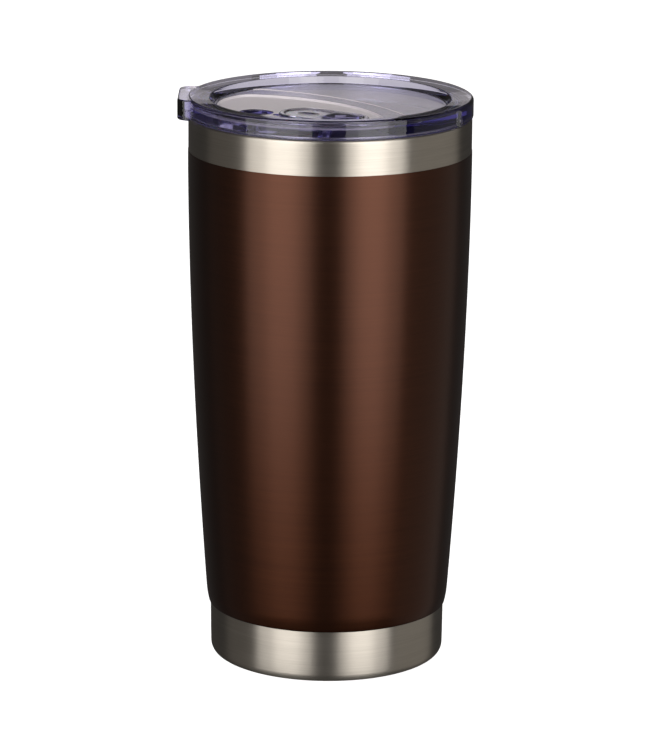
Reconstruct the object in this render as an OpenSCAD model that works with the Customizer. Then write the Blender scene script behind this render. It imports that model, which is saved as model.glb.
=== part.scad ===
// Insulated tumbler with a clear press-in lid and a sliding drink closure.
// Millimetres, +Z up, origin at the centre of the foot.

/* [Cup] */
// Height of the tumbler with its lid on
total_h = 175; // [160:1:200]
// Outer radius at the top of the lacquered part
top_r = 43.1; // [43:0.05:44]
// How much slimmer the lacquered part is at its lower end
barrel_drop = 6.05; // [5:0.05:6.5]
// Curve of the barrel: 1 is a plain cone, 2 is a strong belly
barrel_power = 1.77; // [1.2:0.01:2.2]
// Height of the bare steel base band
band_h = 16.4; // [14:0.2:20]
// Height of the bare steel rim band below the lid
rim_band_h = 10.6; // [8:0.2:14]
// Thickness of the outer and inner steel walls
wall_t = 0.5; // [0.4:0.05:0.7]
// Thickness of the lacquer
coat_t = 0.12; // [0.1:0.01:0.2]

/* [Base] */
// Outer radius of the base band
band_r = 36.15; // [35.5:0.05:36.3]
// Radius of the rounded bottom corner
foot_corner = 2.7; // [2:0.1:4]
// Outer radius of the stiffening groove pressed into the base
foot_groove_r = 26; // [20:0.5:28]
// Width of the stiffening groove
foot_groove_w = 5; // [3:0.5:8]
// Depth of the stiffening groove
foot_groove_h = 0.9; // [0.5:0.1:1.2]

/* [Liner] */
// Inner radius at the mouth
mouth_r = 40.6; // [40.3:0.05:40.8]
// Inner radius just above the bottom corner
liner_low_r = 33.2; // [31:0.1:33.6]
// Radius of the bottom corner
liner_corner = 10; // [6:0.5:14]
// Height of the inside bottom above the table
liner_floor = 12; // [11:0.5:16]

/* [Lid] */
// Outer radius of the lid ring
ring_r = 43.3; // [43.3:0.05:43.8]
// Height of the lid ring above the steel rim
ring_h = 5.9; // [5.5:0.1:6.5]
// Depth of the dish inside the ring
dish_depth = 2.9; // [2.6:0.1:3.2]
// Radius of the dish floor
dish_r = 34.9; // [34.7:0.1:35.1]
// Radius of the dish at its upper edge
edge_r = 36.4; // [36.2:0.1:36.8]
// How far the top of the ring falls towards the dish
crown = 0.6; // [0.3:0.1:0.8]
// Depth of the plug below the ring
plug_depth = 10.6; // [9.5:0.1:14]
// Outer radius of the plug
plug_r = 39.6; // [39.3:0.05:39.7]
// How far the pull tab stands out from the ring
tab_out = 2.8; // [2:0.1:4]
// Width of the pull tab
tab_w = 26; // [20:0.5:28]
// Offset of the pull tab towards the back
tab_y = 2.5; // [-3:0.5:3]
// Depth of the low part of the floor, where the slider runs
low_depth = 1.05; // [0.9:0.05:1.2]

/* [Slider] */
// Direction of the slider track, in degrees from +X
track_az = -34; // [-90:1:90]
// Sideways offset of the track from the lid centre
track_off = -19; // [-19.2:0.1:-18]
// Travel of the slider
travel = 16.5; // [14:0.5:16.5]
// Half width of the slider
slider_r = 8; // [7.8:0.05:8.1]
// Length of the slider
slider_len = 29.4; // [28.6:0.2:29.6]

/* [Colours] */
steel_c = [0.66, 0.64, 0.61];
lacquer_c = [0.24, 0.13, 0.08];
clear_c = [0.80, 0.80, 0.92, 0.4];
silicone_c = [0.86, 0.87, 0.90];
foil_c = [0.85, 0.83, 0.80];
getter_c = [0.35, 0.35, 0.37];
solder_c = [0.30, 0.34, 0.36];

/* [Hidden] */
$fn = 96;
// Cup heights
rim_z = total_h - ring_h - 0.1;
coat_top = rim_z - rim_band_h;
coat_bot = band_h;
neck_r = band_r - wall_t - 0.15;
roll_h = 4.6;
roll_in = 0.42;
steps = 40;
// Outer radius of the lacquer at height z, slimmer towards the base, with a rolled lower edge
function barrel(z) =
    top_r - barrel_drop * pow(max(coat_top - z, 0) / (coat_top - coat_bot), barrel_power)
    - roll_in * pow(max(coat_bot + roll_h - z, 0) / roll_h, 2);
// Heights spread over the barrel, closer together near the base roll
function lift(i) = coat_bot + (coat_top - coat_bot) * pow(i / steps, 1.6);
// Points on an arc about c, from angle a to angle b, in n pieces
function arc(c, r, a, b, n) =
    [for (i = [0 : n]) c + r * [cos(a + (b - a) * i / n), sin(a + (b - a) * i / n)]];
// Liner inside radius at height z: straight above liner_str, curved down to liner_low
liner_str = coat_top - 2.4;
liner_low = liner_floor + liner_corner;
function liner(z) =
    mouth_r - (mouth_r - liner_low_r) * pow(max(liner_str - z, 0) / (liner_str - liner_low), 1.5);
function reverse(v) = [for (i = [len(v) - 1 : -1 : 0]) v[i]];
lip_r = mouth_r + wall_t;
// Vacuum bottom
plate_z = 4.2;
plate_r = neck_r - wall_t;
// The getter sits beside the pumping hole, on the plate
getter_x = 18;
getter_z = plate_z + 0.6;
// Lid heights
ring_z = total_h - ring_h;
floor_z = total_h - dish_depth;
shelf_z = floor_z - 0.3;
low_z = floor_z - low_depth;
floor_t = 2.9;
under_z = floor_z - floor_t;
plug_z = ring_z - plug_depth;
plug_wall = 3;
plug_in = plug_r - plug_wall;
groove_r = plug_r - 1.4;
groove_lo = plug_z + 2.1;
groove_hi = groove_lo + 3.8;
// The low floor is bounded by the dish and by two large arcs, the shelf by a third one.
// An arc's reach is how far it passes the lid's centre, in the direction of its angle.
low_arc_r = 50;
low_arc_reach = 4.6;
low_arc_az = 78;
low_arc_c = (low_arc_reach - low_arc_r) * [cos(low_arc_az), sin(low_arc_az)];
corner_r = 31.5;
corner_c = [-1.5, -9.5];
shelf_arc_r = 75;
shelf_arc_reach = 10;
shelf_arc_az = 77.5;
shelf_arc_c = (shelf_arc_reach - shelf_arc_r) * [cos(shelf_arc_az), sin(shelf_arc_az)];
// Slider
slide_bot = low_z + 0.2;
slide_top = slide_bot + 1.6;
slide_x = 10.5;
stem_x = 11;
stem_l = 3;
stem_w = 2.4;
seal_x = 2.5;
hole_x = seal_x - travel;
hole_r = 4.3;
hole_l = 1.6;
seal_r = 6.3;
clip_t = 1.2;
// The slider's top face is sunk inside its rounded border
sunk = 0.35;
border = 1.9;
// Thumb grip: a ball of grip_ball radius drawn along grip_l
grip_x = 16.9;
grip_l = 2.6;
grip_ball = 8;

// Flat outline with round ends, along X
module track_2d(l, r) {
    square([l, 2 * r], center = true);
    for (s = [-1, 1]) translate([s * l / 2, 0]) circle(r);
}

// Solid whose edge profile runs round both ends of a straight track of length l
module track_turn(l) {
    for (s = [-1, 1]) translate([s * l / 2, 0, 0]) rotate([0, 0, -90 * s])
        rotate_extrude(angle = 180) children();
    rotate([90, 0, 90]) translate([0, 0, -l / 2]) linear_extrude(l) {
        children();
        mirror([1, 0]) children();
    }
}

// Everything that lies along the slider track is placed from here
module on_track() {
    rotate([0, 0, track_az]) translate([0, track_off, 0]) children();
}

// Disc of radius r with its centre at c, in the direction of the track
module disc(c, r, z, h) {
    rotate([0, 0, track_az]) translate([c[0], c[1], z]) cylinder(r = r, h = h, $fn = 180);
}

module outer_shell() {
    out = [for (i = [0 : steps]) [barrel(lift(i)) - coat_t, lift(i)]];
    in = [for (i = [0 : steps]) [barrel(lift(i)) - coat_t - wall_t, lift(i) + (i == 0 ? wall_t : 0)]];
    top = top_r - coat_t;
    color(steel_c) rotate_extrude($fn = 180) polygon(concat(
        [[neck_r, plate_z], [neck_r, coat_bot]],
        out,
        arc([top - 1, rim_z - 1], 1, 0, 90, 8),
        [[lip_r, rim_z], [lip_r, rim_z - wall_t]],
        arc([top - 1, rim_z - 1], 1 - wall_t, 90, 0, 6),
        reverse(in),
        [[neck_r - wall_t, coat_bot + wall_t], [neck_r - wall_t, plate_z]]
    ));
}

module lacquer_coat() {
    out = [for (i = [0 : steps]) [barrel(lift(i)), lift(i)]];
    in = [for (i = [0 : steps]) [barrel(lift(i)) - coat_t, lift(i)]];
    color(lacquer_c) rotate_extrude($fn = 180) polygon(concat(out, reverse(in)));
}

module inner_liner() {
    n = 24;
    side = [for (i = [0 : n]) liner_low + (liner_str - liner_low) * i / n];
    c = [liner_low_r - liner_corner, liner_low];
    color(steel_c) rotate_extrude($fn = 180) polygon(concat(
        [[0, liner_floor]],
        arc(c, liner_corner, -90, 0, 12),
        [for (z = side) [liner(z), z]],
        [[mouth_r, rim_z], [lip_r, rim_z]],
        reverse([for (z = side) [liner(z) + wall_t, z]]),
        reverse(arc(c, liner_corner + wall_t, -90, 0, 12)),
        [[0, liner_floor - wall_t]]
    ));
}

// Thin foil wrapped round the liner, inside the vacuum
module foil_shield() {
    n = 16;
    lo = liner_low + 4;
    hi = liner_str - 12;
    gap = wall_t + 0.3;
    foil_t = 0.2;
    side = [for (i = [0 : n]) lo + (hi - lo) * i / n];
    color(foil_c) rotate_extrude($fn = 180) polygon(concat(
        [for (z = side) [liner(z) + gap + foil_t, z]],
        reverse([for (z = side) [liner(z) + gap, z]])
    ));
}

// Plate that closes the outer wall, with the pumping hole in a dimple
module vacuum_bottom() {
    t = 0.6;
    color(steel_c) rotate_extrude($fn = 180) polygon([
        [0.8, plate_z + 1], [3.4, plate_z + 1], [5, plate_z], [plate_r, plate_z],
        [plate_r, plate_z + 4], [plate_r - t, plate_z + 4], [plate_r - t, plate_z + t],
        [5.2, plate_z + t], [3.6, plate_z + 1 + t], [0.8, plate_z + 1 + t]
    ]);
}

// Solder that closes the pumping hole
module evacuation_seal() {
    color(solder_c) rotate_extrude($fn = 64) polygon(concat(
        [[0, plate_z + 1.5], [0.8, plate_z + 1.5], [0.8, plate_z + 1], [3, plate_z + 1]],
        reverse(arc([0, plate_z + 3.6], 4, -90, -41, 8))
    ));
}

// Strip that holds the getter down on the plate
module getter_holder() {
    color(steel_c) translate([getter_x, 0, getter_z]) {
        difference() {
            union() {
                for (s = [-1, 1]) translate([s * 7 - 1.5, -2.5, 0]) cube([3, 5, 0.4]);
                for (s = [-1, 1]) translate([s * 5.7 - 0.2, -2.5, 0]) cube([0.4, 5, 3.2]);
                translate([-5.9, -2.5, 2.8]) cube([11.8, 5, 0.4]);
            }
            translate([0, 0, 2]) cylinder(r = 1.2, h = 3);
        }
    }
}

module getter_pellet() {
    color(getter_c) translate([getter_x, 0, getter_z]) difference() {
        cylinder(r = 5, h = 2.6);
        translate([0, 0, -1]) cylinder(r = 1.6, h = 5);
    }
}

// Steel cup pressed over the lower end of the body
module base_cup() {
    t = wall_t;
    c = [band_r - 0.2 - foot_corner, foot_corner];
    g0 = foot_groove_r - foot_groove_w;
    g1 = foot_groove_r;
    h = foot_groove_h;
    color(steel_c) rotate_extrude($fn = 180) polygon(concat(
        [[0, 0], [g0, 0], [g0 + h, h], [g1 - h, h], [g1, 0]],
        arc(c, foot_corner, -90, 0, 10),
        [[band_r - 0.05, foot_corner + 3], [band_r, band_h - 0.5], [band_r - 0.25, band_h - 0.1]],
        [[band_r - t, band_h - 0.1], [band_r - t, foot_corner + 3]],
        reverse(arc(c, foot_corner - t, -90, 0, 8)),
        [[g1 + 0.3, t], [g1 - h + 0.3, h + t], [g0 + h - 0.3, h + t], [g0 - 0.3, t], [0, t]]
    ));
}

module lid_body() {
    fall = atan(crown / (ring_r - edge_r - 1.5));
    edge = [edge_r + 0.5, total_h - crown - 0.6];
    color(clear_c) difference() {
        union() {
            rotate_extrude($fn = 180) polygon(concat(
                [[0, under_z], [plug_in, under_z]],
                [[plug_in, plug_z + 0.4], [plug_in + 0.4, plug_z]],
                [[plug_r - 0.4, plug_z], [plug_r, plug_z + 0.4], [plug_r, groove_lo]],
                [[groove_r, groove_lo], [groove_r, groove_hi], [plug_r, groove_hi]],
                [[plug_r, ring_z], [ring_r - 0.2, ring_z], [ring_r, ring_z + 0.2]],
                arc([ring_r - 0.9, total_h - 0.9], 0.9, 0, 90 + fall, 9),
                arc(edge, 0.6, 90 + fall, 143, 5),
                arc([dish_r - 0.35, floor_z + 0.85], 0.85, -45, -90, 4),
                [[0, floor_z]]
            ));
            pull_tab();
        }
        // Shallow shelf beside the low floor, then the low floor itself
        intersection() {
            disc(shelf_arc_c, shelf_arc_r, shelf_z, 3);
            disc([0, 0], dish_r - 0.4, shelf_z, 3);
        }
        intersection() {
            disc(low_arc_c, low_arc_r, low_z, 3);
            disc(corner_c, corner_r, low_z, 3);
            disc([0, 0], dish_r - 0.7, low_z, 3);
        }
        // Drink hole and the slot for the slider's stem
        on_track() translate([hole_x, 0, under_z - 1]) linear_extrude(5) track_2d(hole_l, hole_r);
        on_track() translate([stem_x - stem_l / 2 - travel - 0.7, -stem_w / 2 - 0.3, under_z - 1])
            cube([stem_l + travel + 1.2, stem_w + 0.6, 5]);
    }
}

// Tab at the side of the ring, to lift the lid off
module pull_tab() {
    low = ring_z - 0.6;
    back = 8;
    r = 6;
    x = -ring_r - tab_out;
    difference() {
        translate([0, tab_y, low]) linear_extrude(total_h - low - 0.25) {
            translate([x, -tab_w / 2 + r]) square([back, tab_w - 2 * r]);
            translate([x + r, -tab_w / 2]) square([back - r, tab_w]);
            for (s = [-1, 1]) translate([x + r, s * (tab_w / 2 - r)]) circle(r);
        }
        translate([0, 0, low - 1]) cylinder(r = ring_r + 0.05, h = 1 + ring_z - low, $fn = 180);
        translate([0, 0, low - 1]) cylinder(r = ring_r - 1.2, h = total_h, $fn = 180);
    }
}

module lid_gasket() {
    g = groove_lo + 0.15;
    h = groove_hi - groove_lo - 0.3;
    out = mouth_r - 0.25;
    color(silicone_c) rotate_extrude($fn = 180) polygon([
        [groove_r, g], [plug_r - 0.3, g], [plug_r + 0.1, g + 0.2], [out, g + 0.7], [out, g + 0.95],
        [plug_r - 0.1, g + 1.3], [plug_r - 0.1, g + h - 1.3],
        [out, g + h - 0.75], [out, g + h - 0.5], [plug_r + 0.1, g + h], [groove_r, g + h]
    ]);
}

module slider() {
    straight = slider_len - 2 * slider_r;
    inner = slider_r - border;
    mid_z = slide_top - sunk;
    color(clear_c) on_track() difference() {
        union() {
            translate([slide_x, 0, 0]) track_turn(straight) polygon(concat(
                [[0, slide_bot], [slider_r - 0.3, slide_bot], [slider_r, slide_bot + 0.3]],
                arc([slider_r - 0.6, slide_top - 0.6], 0.6, 0, 90, 6),
                [[inner + sunk, slide_top], [inner, mid_z], [0, mid_z]]
            ));
            thumb_grip(mid_z);
            // Stem through the slot, and its head below the clip
            translate([stem_x - stem_l / 2, -stem_w / 2, under_z - clip_t - 0.9])
                cube([stem_l, stem_w, slide_bot - under_z + clip_t + 1.2]);
            translate([stem_x - stem_l / 2, -stem_w / 2 - 0.5, under_z - clip_t - 0.9])
                cube([stem_l, stem_w + 1, 0.75]);
        }
        // Seat of the seal
        translate([seal_x, 0, slide_bot - 1]) cylinder(r = seal_r, h = 1.6);
    }
}

// Raised oval for the thumb
module thumb_grip(base_z) {
    top_z = total_h - 0.9;
    low = asin((base_z - 0.2 - top_z + grip_ball) / grip_ball);
    translate([grip_x, 0, 0]) track_turn(grip_l) polygon(concat(
        [[0, base_z - 0.2]],
        arc([0, top_z - grip_ball], grip_ball, low, 90, 12)
    ));
}

module slider_seal() {
    color(silicone_c) on_track() translate([seal_x, 0, slide_bot - 0.12]) difference() {
        cylinder(r = seal_r - 0.02, h = 0.7);
        translate([0, 0, -1]) cylinder(r = 2.4, h = 1.4);
    }
}

module slider_clip() {
    color(clear_c) on_track() translate([stem_x, 0, under_z - 0.1 - clip_t]) difference() {
        intersection() {
            translate([-3.4, -4, 0]) cube([6.8, 8, clip_t]);
            cylinder(r = 4.9, h = clip_t);
        }
        translate([-stem_l / 2 - 0.02, -stem_w / 2 - 0.02, -1]) cube([stem_l + 0.04, stem_w + 0.04, 4]);
    }
}

outer_shell();
lacquer_coat();
inner_liner();
foil_shield();
vacuum_bottom();
evacuation_seal();
getter_holder();
getter_pellet();
base_cup();
lid_body();
lid_gasket();
slider();
slider_seal();
slider_clip();
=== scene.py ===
import math

import bmesh
import bpy
from mathutils import Matrix, Vector


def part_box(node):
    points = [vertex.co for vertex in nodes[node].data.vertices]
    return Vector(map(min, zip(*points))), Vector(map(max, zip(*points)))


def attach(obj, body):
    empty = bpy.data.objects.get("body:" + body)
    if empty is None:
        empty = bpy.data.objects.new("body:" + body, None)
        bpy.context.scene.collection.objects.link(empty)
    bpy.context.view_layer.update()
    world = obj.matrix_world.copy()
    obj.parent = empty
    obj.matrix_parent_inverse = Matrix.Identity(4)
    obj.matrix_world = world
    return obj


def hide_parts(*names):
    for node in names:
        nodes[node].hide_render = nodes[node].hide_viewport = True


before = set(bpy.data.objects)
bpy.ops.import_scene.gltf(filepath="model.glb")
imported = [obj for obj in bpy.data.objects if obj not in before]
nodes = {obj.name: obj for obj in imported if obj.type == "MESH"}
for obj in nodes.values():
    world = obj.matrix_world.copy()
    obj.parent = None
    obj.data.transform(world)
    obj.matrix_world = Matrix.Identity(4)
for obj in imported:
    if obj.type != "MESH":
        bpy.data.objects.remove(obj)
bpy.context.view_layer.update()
MM = 0.001

# ---------------------------------------------------------------- sizes, mm, as in the CAD
TOTAL_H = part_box("lid_body")[1].z / MM        # top of the lid's ring
RIM_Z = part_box("outer_shell")[1].z / MM       # top of the steel rim
COAT_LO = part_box("lacquer_coat")[0].z / MM    # lower end of the lacquer
COAT_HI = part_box("lacquer_coat")[1].z / MM    # upper end of the lacquer

# cup
WALL = 0.5                            # steel sheet
COAT_T = 0.12                         # lacquer
TOP_R = 43.1                          # body at the top of the lacquer
TAPER, TAPER_POWER = 6.05, 1.77       # how far it narrows downwards, and how it curves
TUCK, TUCK_H = 0.42, 4.6              # how far, and over what height, it draws in at its foot
EASE = 0.10                           # the lacquer's lower edge thins out
BAND_R = 36.15                        # base band
NECK_GAP = 0.15                       # between base band and shell
SHELL_FOOT = 4.2                      # lower end of the shell
PRESS = 0.9                           # height of the ring pressed into the foot
ROLL = 1                              # radius over the rim
MOUTH_R = 40.6                        # liner's mouth
LINER_TOP = COAT_HI - 2.4             # the liner's taper starts here
LINER_TAPER, LINER_POWER = 7.4, 1.5
BEND_R, BEND_AT, BEND_Z = 10, 23.2, 22.0    # bend from wall to bottom: radius, centre

# lid
RING_R = 43.3
RING_Z = TOTAL_H - 5.9                # underside of the ring
EDGE_R, CROWN = 36.4, 0.6             # the ring's inner edge, and how far its top falls to it
DISH_R = 34.9                         # main floor
FLOOR_Z = TOTAL_H - 2.9
SHELF_Z = FLOOR_Z - 0.3               # shelf beside the pocket
LOW_Z = FLOOR_Z - 1.05                # pocket round the slider
UNDER_Z = FLOOR_Z - 2.9               # underside of the floor
PLUG_R, PLUG_IN = 39.6, 36.6
PLUG_Z = RING_Z - 10.6
GROOVE_LO = PLUG_Z + 2.1              # groove of the gasket
GROOVE_HI = GROOVE_LO + 3.8
GROOVE_DEEP = 1.4
TAB_OUT, TAB_DEPTH, TAB_HALF = 2.8, 8.0, 13.0    # pull tab: past the ring, inwards, half its width
TAB_CORNER, TAB_SHIFT = 6.0, 2.5

# slider; its track has its own axes, turned by TRACK_AZ and set off from the lid's centre
TRACK_AZ = math.radians(-34)
TRACK_OFF = -19.0
SLIDE_X, SLIDE_HALF, SLIDE_R = 10.5, 6.7, 8.0
SLIDE_LO = LOW_Z + 0.2
SLIDE_HI = SLIDE_LO + 1.6
SEAL_X, SEAL_R, SEAL_DEEP = 2.5, 6.3, 0.6
STEM_X, STEM_LONG, STEM_WIDE = 11.0, 3.0, 2.4
STEM_LO, HEAD_HI, HEAD_WIDE = UNDER_Z - 2.1, UNDER_Z - 1.35, 3.4
HOLE_X, HOLE_HALF, HOLE_R, HOLE_LIP = -14.0, 0.8, 4.3, 0.4
SLOT_LO, SLOT_HI, SLOT_R = -7.7, 13.0, 1.5

# discs (x, y, radius) that bound the pocket and the shelf, in the direction of the track
LOW_DISCS = ((-9.44, -44.41, 50.0), (-1.5, -9.5, 31.5), (0.0, 0.0, DISH_R - 0.7))
SHELF_DISCS = ((-14.07, -63.46, 75.0), (0.0, 0.0, DISH_R - 0.4))
DISC_MID = (-2, -8)                   # a point inside all of them

TURN, LID_TURN = 256, 240             # points round the cup and the lid
SHARP, SLIDER_SHARP = 34, 40          # an edge over this angle, in degrees, stays sharp
WELD, TINY = 2e-7, 1e-7               # metres: points that are joined, edges that are dropped
CUT_WELD, CUT_TINY = 1.5e-6, 1e-6     # the same, after the booleans


def barrel(z):
    """Outer radius of the lacquered body at height z."""
    r = TOP_R - TAPER * (max(COAT_HI - z, 0) / (COAT_HI - COAT_LO)) ** TAPER_POWER
    return r - TUCK * (max(COAT_LO + TUCK_H - z, 0) / TUCK_H) ** 2


def liner(z):
    """Inner radius of the liner at height z."""
    return MOUTH_R - LINER_TAPER * (max(LINER_TOP - z, 0) / (LINER_TOP - BEND_Z)) ** LINER_POWER


# ---------------------------------------------------------------- outlines
def quarter(n):
    """Angles from 0 to a right angle, in n steps."""
    return [math.pi / 2 * k / n for k in range(n + 1)]


def rounded(points, n):
    """A closed outline with each corner (x, y, radius) rounded by its own radius, in n steps."""
    out, m = [], len(points)
    for i, p in enumerate(points):
        b = Vector(p[:2])
        rad = p[2] if len(p) > 2 else 0
        if rad <= 0:
            out.append(tuple(b))
            continue
        a, c = Vector(points[i - 1][:2]), Vector(points[(i + 1) % m][:2])
        u, v = (a - b).normalized(), (c - b).normalized()
        half = u.angle(v) / 2
        t = min(rad / math.tan(half), 0.49 * (a - b).length, 0.49 * (c - b).length)
        rad = t * math.tan(half)
        centre = b + (u + v).normalized() * (rad / math.sin(half))
        p0, p1 = b + u * t - centre, b + v * t - centre
        a0, a1 = math.atan2(p0.y, p0.x), math.atan2(p1.y, p1.x)
        turn = (a1 - a0 + math.pi) % (2 * math.pi) - math.pi
        for k in range(n + 1):
            w = a0 + turn * k / n
            out.append((centre.x + rad * math.cos(w), centre.y + rad * math.sin(w)))
    return out


def track_outline(half, r, at, caps=40, sides=12):
    """Points round a straight track with round ends, in the track's own axes."""
    pts = []
    for s in (1, -1):
        for k in range(caps + 1):
            w = -math.pi / 2 + math.pi * k / caps
            pts.append((at + s * (half + r * math.cos(w)), s * r * math.sin(w)))
        for k in range(1, sides):
            pts.append((at + s * (half - 2 * half * k / sides), s * r))
    return pts


def disc_outline(discs, grow=0.0):
    """The common area of some discs, with its corners rounded, in axes along the track."""
    soft, count, reach, halvings = 2.5, 480, 60.0, 34

    def over(x, y):
        best = -1e9
        for cx, cy, r in discs:
            g = math.hypot(x - cx, y - cy) - r - grow
            h = max(soft - abs(best - g), 0) / soft
            best = max(best, g) + h * h * soft / 4
        return best

    def along(w, t):
        return DISC_MID[0] + t * math.cos(w), DISC_MID[1] + t * math.sin(w)

    pts = []
    for k in range(count):
        w = 2 * math.pi * k / count
        lo, hi = 0.0, reach
        for _ in range(halvings):
            mid = (lo + hi) / 2
            if over(*along(w, mid)) < 0:
                lo = mid
            else:
                hi = mid
        pts.append(along(w, lo))
    return pts


def rotated(x, y, angle):
    c, s = math.cos(angle), math.sin(angle)
    return x * c - y * s, x * s + y * c


def turned(x, y):
    """From axes along the slider track, but centred on the lid, to the row frame, mm."""
    return rotated(x, y, TRACK_AZ)


def to_lid(x, y):
    """From the slider track's own axes to the row frame, mm."""
    return turned(x, y + TRACK_OFF)


# ---------------------------------------------------------------- mesh helpers
def shade(bm, sharp):
    """Smooth faces, with sharp edges over an angle in degrees."""
    limit = math.radians(sharp)
    for f in bm.faces:
        f.smooth = True
    for e in bm.edges:
        e.smooth = not (len(e.link_faces) == 2 and e.calc_face_angle(0) > limit)


def finish_mesh(bm, name, sharp=SHARP):
    """Turns a bmesh into an object, with its normals outwards."""
    bmesh.ops.remove_doubles(bm, verts=bm.verts, dist=WELD)
    bmesh.ops.dissolve_degenerate(bm, dist=TINY, edges=bm.edges)
    bmesh.ops.recalc_face_normals(bm, faces=bm.faces)
    shade(bm, sharp)
    mesh = bpy.data.meshes.new(name)
    bm.to_mesh(mesh)
    bm.free()
    ob = bpy.data.objects.new(name, mesh)
    bpy.context.scene.collection.objects.link(ob)
    return ob


def lathe(name, outline, segs=TURN):
    """A closed outline of (radius, height) turned round Z."""
    bm = bmesh.new()
    rings = []
    for r, z in outline:
        if r < 1e-6:
            rings.append([bm.verts.new((0, 0, z * MM))])
        else:
            rings.append([bm.verts.new((r * MM * math.cos(2 * math.pi * k / segs),
                                        r * MM * math.sin(2 * math.pi * k / segs), z * MM))
                          for k in range(segs)])
    for i, a in enumerate(rings):
        b = rings[(i + 1) % len(rings)]
        if len(a) == 1 and len(b) == 1:
            continue
        for k in range(segs):
            j = (k + 1) % segs
            if len(a) == 1:
                bm.faces.new((a[0], b[j], b[k]))
            elif len(b) == 1:
                bm.faces.new((a[k], a[j], b[0]))
            else:
                bm.faces.new((a[k], a[j], b[j], b[k]))
    return finish_mesh(bm, name)


def join_rings(bm, rings):
    """Quads between rings of vertices that all have the same number of points."""
    for a, b in zip(rings, rings[1:]):
        for k in range(len(a)):
            j = (k + 1) % len(a)
            bm.faces.new((a[k], a[j], b[j], b[k]))


def stack(name, levels, place=to_lid):
    """A closed solid through a list of (outline, height), all with the same number of points."""
    bm = bmesh.new()
    rings = [[bm.verts.new((*[v * MM for v in place(*p)], z * MM)) for p in line]
             for line, z in levels]
    join_rings(bm, rings)
    bm.faces.new(rings[0])
    bm.faces.new(rings[-1])
    return finish_mesh(bm, name)


def combine(ob, other, how):
    """Applies a boolean and removes the second object."""
    mod = ob.modifiers.new("cut", "BOOLEAN")
    mod.operation, mod.solver, mod.object = how, "EXACT", other
    deps = bpy.context.evaluated_depsgraph_get()
    mesh = bpy.data.meshes.new_from_object(ob.evaluated_get(deps))
    ob.modifiers.clear()
    old = ob.data
    ob.data = mesh
    bpy.data.meshes.remove(old)
    gone = other.data
    bpy.data.objects.remove(other)
    bpy.data.meshes.remove(gone)
    bpy.context.view_layer.update()
    return ob


def crisp(ob, sharp=SHARP):
    """After the booleans: smooth and sharp edges again, and normals led by the large faces."""
    bm = bmesh.new()
    bm.from_mesh(ob.data)
    bmesh.ops.remove_doubles(bm, verts=bm.verts, dist=CUT_WELD)
    bmesh.ops.dissolve_degenerate(bm, dist=CUT_TINY, edges=bm.edges)
    shade(bm, sharp)
    bm.to_mesh(ob.data)
    bm.free()
    mod = ob.modifiers.new("normals", "WEIGHTED_NORMAL")
    mod.mode, mod.weight, mod.keep_sharp = "FACE_AREA", 80, True
    return ob


# ---------------------------------------------------------------- materials
VIOLET = (0.42, 0.38, 0.74, 1)        # what a thick stretch of the clear plastic lets through
MATT_TINT = (0.95, 0.885, 0.93, 1)    # the pocket's moulded texture
MATT_CLEAR = 0.30                     # how much of it stays clear
MATT_R = (34.2, 34.5)                 # it fades out between these radii, mm
# (height in mm, share of the texture): full in the pocket and on the step round the shelf, none on
# the shelf and the main floor
MATT = ((LOW_Z - 0.12, 0), (LOW_Z - 0.04, 1), (SHELF_Z - 0.06, 1), (SHELF_Z - 0.02, 0),
        (SHELF_Z + 0.01, 0), (SHELF_Z + 0.03, 1), (FLOOR_Z - 0.04, 1), (FLOOR_Z - 0.01, 0))


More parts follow.
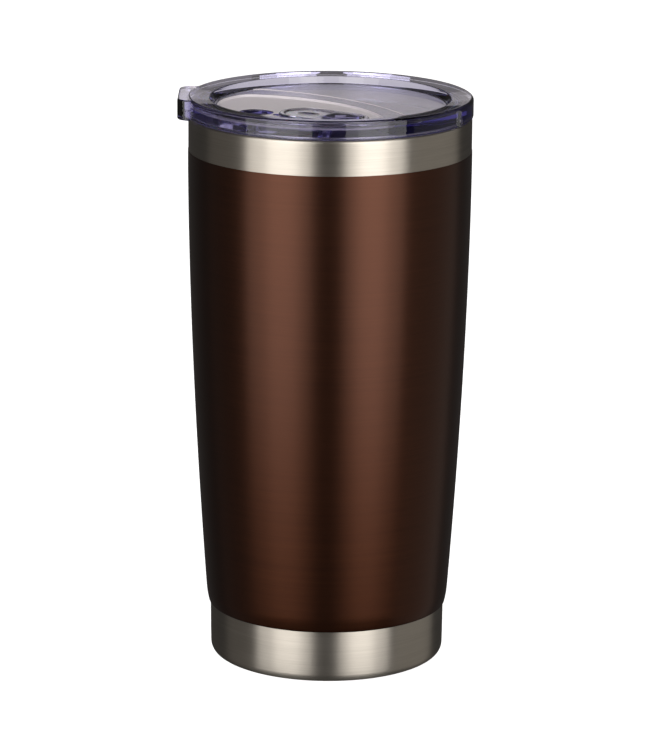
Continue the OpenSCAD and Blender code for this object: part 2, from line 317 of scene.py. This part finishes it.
class Mat:
    """A node material with a Principled shader and a few helpers."""

    def __init__(self, name, **constants):
        self.m = bpy.data.materials.new(name)
        self.m.use_nodes = True
        self.nt = self.m.node_tree
        self.nt.nodes.clear()
        self.out = self.nt.nodes.new("ShaderNodeOutputMaterial")
        self.p = self.nt.nodes.new("ShaderNodeBsdfPrincipled")
        self.nt.links.new(self.p.outputs[0], self.out.inputs["Surface"])
        for key, value in constants.items():
            self.p.inputs[key.replace("_", " ")].default_value = value
        self.where = None

    def node(self, kind, **props):
        n = self.nt.nodes.new(kind)
        for key, value in props.items():
            setattr(n, key, value)
        return n

    def link(self, a, b):
        self.nt.links.new(a, b)

    def noise(self, scale, stretch=(1, 1, 1), detail=3.0, rough=0.6):
        if self.where is None:
            self.where = self.node("ShaderNodeTexCoord").outputs["Object"]
        mp = self.node("ShaderNodeMapping")
        mp.inputs["Scale"].default_value = [scale * s for s in stretch]
        self.link(self.where, mp.inputs["Vector"])
        n = self.node("ShaderNodeTexNoise")
        n.inputs["Scale"].default_value = 1.0
        n.inputs["Detail"].default_value = detail
        n.inputs["Roughness"].default_value = rough
        self.link(mp.outputs[0], n.inputs["Vector"])
        return n.outputs["Fac"]

    def ramp(self, fac, stops):
        r = self.node("ShaderNodeValToRGB")
        while len(r.color_ramp.elements) < len(stops):
            r.color_ramp.elements.new(0.5)
        for e, (at, col) in zip(r.color_ramp.elements, stops):
            e.position, e.color = at, col
        self.link(fac, r.inputs["Fac"])
        return r.outputs["Color"]

    def span(self, fac, lo, hi, a=0.3, b=0.7):
        """Maps fac from a to b onto lo to hi. A noise seldom leaves 0.3 to 0.7."""
        n = self.node("ShaderNodeMapRange")
        n.inputs["From Min"].default_value, n.inputs["From Max"].default_value = a, b
        n.inputs["To Min"].default_value, n.inputs["To Max"].default_value = lo, hi
        self.link(fac, n.inputs["Value"])
        return n.outputs[0]

    def calc(self, kind, operation, a, b, out=0):
        """A math or vector math node. b is a socket, a constant or None."""
        n = self.node(kind, operation=operation)
        self.link(a, n.inputs[0])
        if isinstance(b, tuple):
            n.inputs[1].default_value = b
        elif b is not None:
            self.link(b, n.inputs[1])
        return n.outputs[out]

    def blend(self, fac, a, b):
        """Between two values. fac is a socket or a constant."""
        n = self.node("ShaderNodeMix", data_type="FLOAT")
        if isinstance(fac, float):
            n.inputs["Factor"].default_value = fac
        else:
            self.link(fac, n.inputs["Factor"])
        self.link(a, n.inputs[2])
        self.link(b, n.inputs[3])
        return n.outputs[0]

    def mix(self, fac, a, b):
        """Between two colours, each a socket or a constant."""
        n = self.node("ShaderNodeMix", data_type="RGBA")
        self.link(fac, n.inputs["Factor"])
        for value, key in ((a, 6), (b, 7)):
            if isinstance(value, tuple):
                n.inputs[key].default_value = value
            else:
                self.link(value, n.inputs[key])
        return n.outputs[2]

    def bump(self, height, distance, strength=1.0):
        n = self.node("ShaderNodeBump")
        n.inputs["Strength"].default_value = strength
        n.inputs["Distance"].default_value = distance
        self.link(height, n.inputs["Height"])
        self.link(n.outputs[0], self.p.inputs["Normal"])

    def brushed_round(self):
        """Scratches run round Z, so the highlight spreads along Z."""
        t = self.node("ShaderNodeTangent", direction_type="RADIAL", axis="Z")
        self.link(t.outputs[0], self.p.inputs["Tangent"])
        self.p.inputs["Anisotropic Rotation"].default_value = 0.25


def steel(name, dark, light, rough=(0.30, 0.38), aniso=0.88):
    """Brushed steel: fine and wide scratches, and slow clouds of the darker tone."""
    k = Mat(name, Metallic=1.0, Anisotropic=aniso)
    lines = k.noise(1, (55, 55, 5200), detail=4, rough=0.75)
    wide = k.noise(1, (18, 18, 1300), detail=3, rough=0.6)
    cloud = k.noise(45, (1, 1, 1.2), detail=3)
    both = k.blend(0.4, lines, wide)
    k.link(k.mix(k.span(cloud, 0.0, 0.35), k.ramp(both, [(0.3, dark), (0.7, light)]), dark),
           k.p.inputs["Base Color"])
    k.link(k.span(both, *rough), k.p.inputs["Roughness"])
    k.bump(both, 0.000012)
    k.brushed_round()
    return k.m


def lacquer(name):
    """Clear brown lacquer over brushed steel: brown metal under a thin clear coat."""
    dark, light = (0.0563, 0.0171, 0.0069, 1), (0.0795, 0.0243, 0.0099, 1)
    middle = (0.066, 0.0205, 0.0084, 1)
    k = Mat(name, Metallic=1.0, Anisotropic=0.5, Coat_Weight=0.32, Coat_Roughness=0.26, Coat_IOR=1.5)
    lines = k.noise(1, (40, 40, 3600), detail=4, rough=0.7)
    wide = k.noise(1, (12, 12, 900), detail=3, rough=0.6)
    cloud = k.noise(30, (1, 1, 0.8), detail=3)
    both = k.blend(0.35, lines, wide)
    k.link(k.mix(k.span(cloud, 0.0, 0.5), k.ramp(both, [(0.28, dark), (0.72, light)]), middle),
           k.p.inputs["Base Color"])
    k.link(k.span(both, 0.30, 0.37), k.p.inputs["Roughness"])
    k.bump(both, 0.000008)
    k.brushed_round()
    return k.m


def plain_metal(name, dark, light, rough, grain):
    k = Mat(name, Metallic=1.0)
    n = k.noise(grain, detail=3)
    k.link(k.ramp(n, [(0.3, dark), (0.7, light)]), k.p.inputs["Base Color"])
    k.link(k.span(n, *rough), k.p.inputs["Roughness"])
    k.bump(n, 0.00002, 0.6)
    return k.m


def silicone(name):
    k = Mat(name, Subsurface_Weight=0.25, Subsurface_Scale=0.002, IOR=1.41)
    n = k.noise(700, detail=3)
    k.link(k.ramp(n, [(0.3, (0.85, 0.85, 0.88, 1)), (0.7, (0.92, 0.92, 0.94, 1))]),
           k.p.inputs["Base Color"])
    k.link(k.span(n, 0.42, 0.55), k.p.inputs["Roughness"])
    k.bump(n, 0.00002, 0.5)
    return k.m


def moulded(k, gloss, levels):
    """Adds the pocket's matt texture to a clear material, and gives its roughness.

    levels lists (height in mm, share of the texture), from low to high.
    """
    low, high = levels[0][0], levels[-1][0]
    part = k.node("ShaderNodeSeparateXYZ")
    k.link(k.where, part.inputs[0])
    level = k.span(part.outputs["Z"], 0.0, 1.0, low * MM, high * MM)
    near = k.ramp(level, [((z - low) / (high - low), (a, a, a, 1)) for z, a in levels])
    flat = k.calc("ShaderNodeVectorMath", "MULTIPLY", k.where, (1, 1, 0))
    radius = k.calc("ShaderNodeVectorMath", "LENGTH", flat, None, "Value")
    inner = k.span(radius, 1.0, 0.0, *[r * MM for r in MATT_R])
    mask = k.calc("ShaderNodeMath", "MULTIPLY", near, inner)
    k.link(k.mix(mask, (1, 1, 1, 1), MATT_TINT), k.p.inputs["Base Color"])
    k.link(k.span(mask, 1.0, MATT_CLEAR, 0.0, 1.0), k.p.inputs["Transmission Weight"])
    return k.blend(mask, gloss, k.span(k.noise(2600, detail=2), 0.42, 0.58))


def clear(name, density, rough=0.012, levels=()):
    """Clear moulded plastic with a violet tint that builds up through its thickness."""
    k = Mat(name, Transmission_Weight=1.0, IOR=1.53)
    k.p.inputs["Base Color"].default_value = (1, 1, 1, 1)
    gloss = k.span(k.noise(260, detail=2), rough, rough * 2.2)
    k.link(moulded(k, gloss, levels) if levels else gloss, k.p.inputs["Roughness"])
    k.bump(k.noise(38, (1, 1, 0.6), detail=2), 0.00006, 0.5)
    v = k.node("ShaderNodeVolumeAbsorption")
    v.inputs["Color"].default_value = VIOLET
    v.inputs["Density"].default_value = density
    k.link(v.outputs[0], k.out.inputs["Volume"])
    return k.m


def glowing(name, scale, greys, colour, strength):
    """A dull grey surface that gives off light, for the stage."""
    k = Mat(name, Roughness=0.9, Specular_IOR_Level=0.1)
    stops = [(at, (g, g, g, 1)) for at, g in zip((0.3, 0.7), greys)]
    k.link(k.ramp(k.noise(scale, detail=2), stops), k.p.inputs["Base Color"])
    k.p.inputs["Emission Color"].default_value = colour
    k.p.inputs["Emission Strength"].default_value = strength
    return k.m


M_STEEL = steel("brushed_steel", (0.445, 0.408, 0.362, 1), (0.61, 0.566, 0.508, 1))
# the liner's steel is far lighter than the shell's: painted light, standing in for the light that the
# clear lid keeps out of the cup
M_LINER_LIT = steel("liner_steel", (0.74, 0.72, 0.70, 1), (0.90, 0.88, 0.86, 1), (0.26, 0.36), 0.8)
M_LACQUER = lacquer("brown_lacquer")
M_FOIL = plain_metal("foil", (0.78, 0.76, 0.72, 1), (0.88, 0.86, 0.83, 1), (0.18, 0.4), 400)
M_GETTER = plain_metal("getter", (0.12, 0.12, 0.13, 1), (0.26, 0.26, 0.28, 1), (0.6, 0.85), 2500)
M_SOLDER = plain_metal("glass_solder", (0.05, 0.06, 0.065, 1), (0.10, 0.12, 0.13, 1), (0.12, 0.3), 700)
M_CLEAR = clear("clear_plastic", 70.0, levels=MATT)
M_SLIDER = clear("clear_plastic_slider", 150.0, rough=0.006)
M_SILICONE = silicone("silicone")


def paint(ob, material):
    ob.data.materials.clear()
    ob.data.materials.append(material)


def wear(ob, material, body, node):
    """Gives a piece its material, body and slot. It replaces the CAD node."""
    paint(ob, material)
    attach(ob, body)
    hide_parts(node)


# ---------------------------------------------------------------- camera
CAM_AT = Vector((-0.00105, -1.21210, 0.39430))    # metres
CAM_DOWN, CAM_ROLL = 0.2478, 0.0074    # radians
SENSOR, LENS = 36.0, 195.24            # mm

forward = Vector((0, math.cos(CAM_DOWN), -math.sin(CAM_DOWN)))
level_up = Vector((0, math.sin(CAM_DOWN), math.cos(CAM_DOWN)))
level_right = Vector((1, 0, 0))
cam_x = level_right * math.cos(CAM_ROLL) + level_up * math.sin(CAM_ROLL)
cam_y = level_up * math.cos(CAM_ROLL) - level_right * math.sin(CAM_ROLL)
cam = bpy.data.objects.new("camera", bpy.data.cameras.new("camera"))
cam.data.sensor_width, cam.data.lens = SENSOR, LENS
cam.data.clip_start, cam.data.clip_end = 0.05, 60.0
cam.matrix_world = Matrix.Translation(CAM_AT) @ Matrix((cam_x, cam_y, -forward)).transposed().to_4x4()
bpy.context.scene.collection.objects.link(cam)
bpy.context.scene.camera = cam

# ---------------------------------------------------------------- cup
# rows of the barrel, closer together towards its foot
coat_z = [COAT_LO + (COAT_HI - COAT_LO) * (i / 90) ** 1.5 for i in range(91)]

outer = [(barrel(z), z) for z in coat_z]
outer[0] = (outer[0][0] - EASE, outer[0][1])
inner = [(barrel(z) - COAT_T, z) for z in coat_z]
wear(lathe("lacquer_skin", outer + inner[::-1]), M_LACQUER, "cup", "lacquer_coat")

# up the outside, over the rim, in to the liner's mouth, and down the inside
neck = BAND_R - WALL - NECK_GAP
top = TOP_R - COAT_T
shell = [(neck, SHELL_FOOT), (neck, COAT_LO - 0.3), (barrel(COAT_LO) - COAT_T - 0.25, COAT_LO)]
shell += [(barrel(z) - COAT_T, z) for z in coat_z[1:]]
shell += [(top, COAT_HI + (RIM_Z - ROLL - COAT_HI) * k / 6) for k in range(1, 7)]
shell += [(top - ROLL + ROLL * math.cos(w), RIM_Z - ROLL + ROLL * math.sin(w)) for w in quarter(10)[1:]]
shell += [(MOUTH_R + WALL, RIM_Z), (MOUTH_R + WALL, RIM_Z - WALL)]
shell += [(top - ROLL + (ROLL - WALL) * math.cos(w), RIM_Z - ROLL + (ROLL - WALL) * math.sin(w))
          for w in quarter(6)[::-1]]
shell += [(barrel(z) - COAT_T - WALL, z) for z in coat_z[:0:-1]]
shell += [(neck - WALL, COAT_LO + WALL), (neck - WALL, SHELL_FOOT)]
wear(lathe("steel_body", shell), M_STEEL, "cup", "outer_shell")


def bend(r):
    """The liner's bend from its bottom to its wall, without the wall's first point."""
    return [(BEND_AT + r * math.sin(w), BEND_Z - r * math.cos(w)) for w in quarter(16)[:-1]]


liner_z = [BEND_Z + (LINER_TOP - BEND_Z) * k / 60 for k in range(61)]
wall_in = [(0, BEND_Z - BEND_R)] + bend(BEND_R) + [(liner(z), z) for z in liner_z]
wall_in += [(MOUTH_R, RIM_Z - 0.35), (MOUTH_R + 0.08, RIM_Z - 0.08), (MOUTH_R + 0.28, RIM_Z),
            (MOUTH_R + WALL, RIM_Z)]
wall_out = [(liner(z) + WALL, z) for z in liner_z[::-1]]
wall_out += bend(BEND_R + WALL)[::-1] + [(0, BEND_Z - BEND_R - WALL)]
wear(lathe("steel_liner", wall_in + wall_out), M_LINER_LIT, "cup", "inner_liner")

# from the middle of the foot out to the band's top, and back inside
base = rounded([
    (0, 0), (21, 0, 0.5), (21.9, PRESS, 0.5), (25.1, PRESS, 0.5), (26, 0, 0.5),
    (BAND_R - 0.22, 0, 2.7), (BAND_R - 0.1, 5.5, 8), (BAND_R, COAT_LO - 0.1, 0.22),
    (BAND_R - WALL, COAT_LO - 0.1, 0.1), (BAND_R - WALL - 0.2, WALL, 2.2), (26.3, WALL, 0.4),
    (25.4, PRESS + WALL, 0.4), (21.6, PRESS + WALL, 0.4), (20.7, WALL, 0.4), (0, WALL)], n=9)
wear(lathe("base_band", base), M_STEEL, "cup", "base_cup")

# ---------------------------------------------------------------- lid
groove_r = PLUG_R - GROOVE_DEEP
lid = lathe("lid_shell", rounded([
    (0, UNDER_Z), (PLUG_IN, UNDER_Z, 0.5), (PLUG_IN, PLUG_Z, 0.5), (PLUG_R, PLUG_Z, 0.6),
    (PLUG_R, GROOVE_LO, 0.15), (groove_r, GROOVE_LO, 0.15), (groove_r, GROOVE_HI, 0.15),
    (PLUG_R, GROOVE_HI, 0.15), (PLUG_R, RING_Z, 0.3), (RING_R, RING_Z, 0.35), (RING_R, TOTAL_H, 0.95),
    (EDGE_R + 0.15, TOTAL_H - CROWN - 0.12, 0.75), (DISH_R, FLOOR_Z, 0.75), (0, FLOOR_Z)], n=8),
    LID_TURN)


def tab_place(x, y):
    return x, y + TAB_SHIFT


def tab_line(grow):
    """The pull tab's outline, from its outer edge inwards, with rounded outer corners."""
    x0, x1 = -RING_R - TAB_OUT, -RING_R - TAB_OUT + TAB_DEPTH
    side, corner = TAB_HALF + grow, TAB_CORNER + grow
    return rounded([(x0 - grow, -side, corner), (x1, -side), (x1, side), (x0 - grow, side, corner)],
                   n=16)


def disc_cutter(r, z0, z1):
    return lathe("cutter", [(0, z0), (r, z0), (r, z1), (0, z1)], LID_TURN)


# the tab lies round the ring's side, and its edges are rounded by soft
low, high, soft = RING_Z - 0.6, TOTAL_H - 0.25, 0.55
levels = [(tab_line(-soft * (1 - math.sin(w))), low + soft * (1 - math.cos(w))) for w in quarter(5)]
levels += [(tab_line(-soft * (1 - math.cos(w))), high - soft * (1 - math.sin(w))) for w in quarter(5)]
tab = stack("pull_tab", levels, tab_place)
tab = combine(tab, disc_cutter(RING_R + 0.06, low - 1, RING_Z + 0.02), "DIFFERENCE")
tab = combine(tab, disc_cutter(RING_R - 1.2, low - 1, TOTAL_H + 1), "DIFFERENCE")
lid = combine(lid, tab, "UNION")


def disc_cutter_rows(discs, rows):
    """A cutter through rows of (how far past the discs' outline, height)."""
    return stack("cutter", [(disc_outline(discs, grow), z) for grow, z in rows], turned)


lid = combine(lid, disc_cutter_rows(SHELF_DISCS, (
    (-0.2, SHELF_Z), (-0.06, SHELF_Z + 0.06), (0.0, SHELF_Z + 0.2), (0.1, FLOOR_Z - 0.02),
    (0.2, FLOOR_Z + 0.12), (0.2, FLOOR_Z + 0.14))), "DIFFERENCE")

foot, lip = 0.35, 0.22    # rounding where the pocket's side meets its floor and the shelf
rows = [(-foot * (1 - math.sin(w)), LOW_Z + foot * (1 - math.cos(w))) for w in quarter(5)]
rows += [(0.08 + lip * (1 - math.cos(w)), SHELF_Z - lip + lip * math.sin(w)) for w in quarter(6)[:-2]]
rows += [(0.3, SHELF_Z + 0.1), (0.3, FLOOR_Z + 0.15)]
lid = combine(lid, disc_cutter_rows(LOW_DISCS, rows), "DIFFERENCE")

# drink hole, with a rounded upper edge
rows = [(HOLE_R, UNDER_Z - 1)]
rows += [(HOLE_R + HOLE_LIP * (1 - math.cos(w)), LOW_Z - HOLE_LIP + HOLE_LIP * math.sin(w))
         for w in quarter(6)[:-1]]
rows += [(HOLE_R + HOLE_LIP, LOW_Z + 0.4)]
hole = stack("cutter", [(track_outline(HOLE_HALF, r, HOLE_X), z) for r, z in rows])
lid = combine(lid, hole, "DIFFERENCE")

# slot of the slider's stem
slot_mid, slot_half = (SLOT_LO + SLOT_HI) / 2, (SLOT_HI - SLOT_LO) / 2
slot = track_outline(slot_half - SLOT_R, SLOT_R, slot_mid, caps=12)
lid = combine(lid, stack("cutter", [(slot, UNDER_Z - 1), (slot, LOW_Z + 1)]), "DIFFERENCE")


def skirt_mark(azimuth, w0, w1, z0, z1, out):
    """A low upright rib on the ring's outer face, w0 wide at its foot and w1 at its top."""
    root, face, narrow = RING_R - 0.6, RING_R + out, 0.6

    def line(w):
        return [(root, -w / 2), (face, -narrow * w / 2), (face, narrow * w / 2), (root, w / 2)]

    def place(x, y):
        return rotated(x, y, math.radians(azimuth))

    return stack("rib", [(line(w0), z0), (line(w1), z1)], place)


# one wedge and two small ticks
lid = combine(lid, skirt_mark(-28, 2.8, 0.7, RING_Z + 0.3, TOTAL_H - 1.0, 0.85), "UNION")
for azimuth in (-121, -124.5):
    lid = combine(lid, skirt_mark(azimuth, 0.7, 0.7, RING_Z + 0.45, RING_Z + 2.2, 0.12), "UNION")
wear(crisp(lid), M_CLEAR, "lid", "lid_body")

# the gasket: a band in the groove with two lips that stop just short of the liner
band_lo = GROOVE_LO + 0.15
band_hi = band_lo + 3.5
back, face, lip_r = PLUG_R - 1.38, PLUG_R - 0.1, MOUTH_R - 0.27
gasket = rounded([
    (back, band_lo, 0.1), (PLUG_R - 0.3, band_lo, 0.1), (PLUG_R + 0.1, band_lo + 0.2, 0.2),
    (lip_r, band_lo + 0.7, 0.1), (lip_r, band_lo + 0.95, 0.1), (face, band_lo + 1.3, 0.15),
    (face, band_hi - 1.3, 0.15), (lip_r, band_hi - 0.75, 0.1), (lip_r, band_hi - 0.5, 0.1),
    (PLUG_R + 0.1, band_hi, 0.2), (back, band_hi, 0.1)], n=4)
wear(lathe("silicone_gasket", gasket), M_SILICONE, "lid", "lid_gasket")

# ---------------------------------------------------------------- slider
FACE_Z = SLIDE_HI - 0.35              # the sunk top face
GRIP_X, GRIP_HALF, GRIP_BALL, GRIP_TIP = 16.9, 1.3, 8.0, TOTAL_H - 0.9
TIP_X, TIP_R, TIP_LONG, TIP_DEEP = 5.0, 2.6, 1.5, 0.28    # fingertip hollow
ROUND_LO, ROUND_HI = 0.3, 0.6           # rounding of the slider's side, below and above


def top_height(x, y):
    """Height of the slider's sunk top face, with the fingertip hollow and the thumb grip."""
    d = math.hypot(max(abs(x - GRIP_X) - GRIP_HALF, 0), y)
    dome = GRIP_TIP - GRIP_BALL + math.sqrt(GRIP_BALL ** 2 - d * d) if d < GRIP_BALL else -99
    e = math.hypot((x - TIP_X) / TIP_LONG, y)
    hollow = FACE_Z - TIP_DEEP * max(1 - (e / TIP_R) ** 2, 0) ** 1.5
    soft = 0.25
    w = max(soft - abs(dome - hollow), 0) / soft
    return max(dome, hollow) + w * w * soft / 4


def slider_mesh():
    """Rings from the middle of the underside, round the side, and in to the middle of the top."""
    rows = [(SLIDE_R - ROUND_LO - d, SLIDE_LO) for d in (7.7, 6.0, 4.0, 2.2, 1.0, 0.3)]
    rows += [(SLIDE_R - ROUND_LO + ROUND_LO * math.sin(w), SLIDE_LO + ROUND_LO * (1 - math.cos(w)))
             for w in quarter(5)]
    rows += [(SLIDE_R - ROUND_HI + ROUND_HI * math.cos(w), SLIDE_HI - ROUND_HI + ROUND_HI * math.sin(w))
             for w in quarter(8)]
    edge, inside = SLIDE_R - 1.4, SLIDE_R - 2.1
    edge_z = SLIDE_HI - 0.01
    rows += [(SLIDE_R - 1.1, SLIDE_HI), (edge, edge_z)]
    bm = bmesh.new()
    rings = []

    def ring(r, height):
        pts = track_outline(SLIDE_HALF, max(r, 0), SLIDE_X, caps=48, sides=36)
        rings.append([bm.verts.new((*[v * MM for v in to_lid(x, y)], height(x, y) * MM))
                      for x, y in pts])

    for r, z in rows:
        ring(r, lambda x, y, z=z: z)
    slope, steps = 8, 30
    for k in range(1, slope + 1):
        t = k / slope
        s = t * t * (3 - 2 * t)
        ring(edge + (inside - edge) * t,
             lambda x, y, s=s: max((1 - s) * edge_z + s * top_height(x, y), top_height(x, y)))
    for k in range(1, steps + 1):
        ring(inside * (1 - k / steps), top_height)
    join_rings(bm, rings)
    bm.faces.new(rings[0])
    return finish_mesh(bm, "slider_tongue", SLIDER_SHARP)


def block(x, sx, sy, z0, z1):
    """A block on the middle line of the track, with rounded upright edges."""
    corners = ((x - sx / 2, -sy / 2), (x + sx / 2, -sy / 2), (x + sx / 2, sy / 2), (x - sx / 2, sy / 2))
    line = rounded([(*p, 0.25) for p in corners], n=3)
    return stack("block", [(line, z0), (line, z1)])


tongue = slider_mesh()
tongue = combine(tongue, block(STEM_X, STEM_LONG, STEM_WIDE, STEM_LO, SLIDE_LO + 0.3), "UNION")
tongue = combine(tongue, block(STEM_X, STEM_LONG, HEAD_WIDE, STEM_LO, HEAD_HI), "UNION")
seat = [(SEAL_X + SEAL_R * math.cos(w), SEAL_R * math.sin(w))
        for w in [2 * math.pi * k / 96 for k in range(96)]]
tongue = combine(tongue, stack("cutter", [(seat, SLIDE_LO - 1), (seat, SLIDE_LO + SEAL_DEEP)]),
                 "DIFFERENCE")
wear(crisp(tongue, SLIDER_SHARP), M_SLIDER, "slider", "slider")

# ---------------------------------------------------------------- CAD nodes that stay
for name, material in (("foil_shield", M_FOIL), ("vacuum_bottom", M_LINER_LIT), ("evacuation_seal", M_SOLDER),
                       ("getter_holder", M_LINER_LIT), ("getter_pellet", M_GETTER),
                       ("slider_seal", M_SILICONE), ("slider_clip", M_CLEAR)):
    paint(nodes[name], material)


# ---------------------------------------------------------------- stage and light, metres
def stage(ob, material, *hidden):
    """A stage piece, hidden from some kinds of rays."""
    ob.data.materials.append(material)
    for ray in hidden:
        setattr(ob, "visible_" + ray, False)


def pale_floor():
    """A round floor that gives off light, just under the foot."""
    bm = bmesh.new()
    points = 96
    rings = [[bm.verts.new((r * math.cos(2 * math.pi * k / points),
                            r * math.sin(2 * math.pi * k / points), 0)) for k in range(points)]
             for r in (0.0001, 0.5, 2.0, 6.0, 20.0)]
    join_rings(bm, rings[::-1])
    floor = finish_mesh(bm, "floor")
    floor.location.z = -0.0001
    stage(floor, glowing("pale_floor", 3.0, (0.80, 0.82), (1, 1, 1, 1), 0.93),
          "glossy", "shadow", "diffuse", "transmission")


def pale_panel():
    """A pale band low round the back, seen only through the clear parts."""
    r, half_turn, low, high = 0.6, math.radians(62), -0.55, 0.20
    across, up = 32, 4
    bm = bmesh.new()
    grid = [[bm.verts.new((r * math.sin(w), r * math.cos(w), low + (high - low) * j / up))
             for w in [half_turn * (2 * i / across - 1) for i in range(across + 1)]]
            for j in range(up + 1)]
    for a, b in zip(grid, grid[1:]):
        for i in range(across):
            bm.faces.new((a[i], a[i + 1], b[i + 1], b[i]))
    stage(finish_mesh(bm, "pale_panel"),
          glowing("pale_panel", 2.0, (0.06, 0.07), (1, 0.97, 0.93, 1), 0.70),
          "camera", "shadow", "diffuse", "glossy")


def softbox(name, azimuth, distance, z, width, height, radiance, colour):
    """A rectangular softbox that faces the object. Azimuth 0 is in front, 90 at +X."""
    a = math.radians(azimuth)
    light = bpy.data.lights.new(name, "AREA")
    light.shape, light.size, light.size_y = "RECTANGLE", width, height
    light.energy = radiance * math.pi * width * height
    light.color = colour
    ob = bpy.data.objects.new(name, light)
    ob.location = (math.sin(a) * distance, -math.cos(a) * distance, z)
    ob.rotation_mode = "QUATERNION"
    ob.rotation_quaternion = Vector((-ob.location.x, -ob.location.y, 0)).to_track_quat("-Z", "Y")
    ob.visible_camera = False
    bpy.context.scene.collection.objects.link(ob)


WARM = (1.0, 0.985, 0.955)
PINK = (1.0, 0.94, 0.98)
# each main softbox is a wide one with a narrow, brighter one in front of its middle; the backdrop and
# the low strip are what the lid's flat faces reflect
SOFTBOXES = (
    ("key_left", -42, 1.1, 1.38, 1.17, 3.4, 1.65, WARM),
    ("core_left", -38, 1.07, 1.38, 0.50, 3.4, 1.10, WARM),
    ("key_right", 37, 1.1, 1.38, 1.03, 3.4, 1.73, WARM),
    ("core_right", 34, 1.07, 1.38, 0.46, 3.4, 1.23, WARM),
    ("fill_right", 97, 1.2, 0.10, 1.25, 2.2, 0.22, (1.0, 0.95, 0.86)),
    ("fill_left", -92, 1.2, 0.10, 1.0, 2.2, 0.07, (1.0, 0.93, 0.85)),
    ("backdrop", 180, 1.6, 0.60, 0.60, 0.50, 0.34, PINK),
    ("low_strip", 180, 1.55, 0.465, 0.30, 0.13, 0.20, PINK),
)


def studio_world():
    """White to the camera, and a faint warm glow to everything else."""
    world = bpy.data.worlds.new("studio")
    bpy.context.scene.world = world
    world.use_nodes = True
    wt = world.node_tree
    wt.nodes.clear()
    out = wt.nodes.new("ShaderNodeOutputWorld")
    mix = wt.nodes.new("ShaderNodeMixShader")
    path = wt.nodes.new("ShaderNodeLightPath")
    wt.links.new(path.outputs["Is Camera Ray"], mix.inputs[0])
    for key, colour, strength in ((1, (1.0, 0.96, 0.92, 1), 0.05), (2, (1, 1, 1, 1), 1.0)):
        glow = wt.nodes.new("ShaderNodeBackground")
        glow.inputs["Color"].default_value = colour
        glow.inputs["Strength"].default_value = strength
        wt.links.new(glow.outputs[0], mix.inputs[key])
    wt.links.new(mix.outputs[0], out.inputs["Surface"])


pale_floor()
for box in SOFTBOXES:
    softbox(*box)
pale_panel()
studio_world()

scene = bpy.context.scene
scene.view_settings.view_transform = "Standard"
scene.view_settings.look = "None"
scene.cycles.max_bounces = 24
scene.cycles.transmission_bounces = 20
scene.cycles.glossy_bounces = 8
scene.cycles.transparent_max_bounces = 16
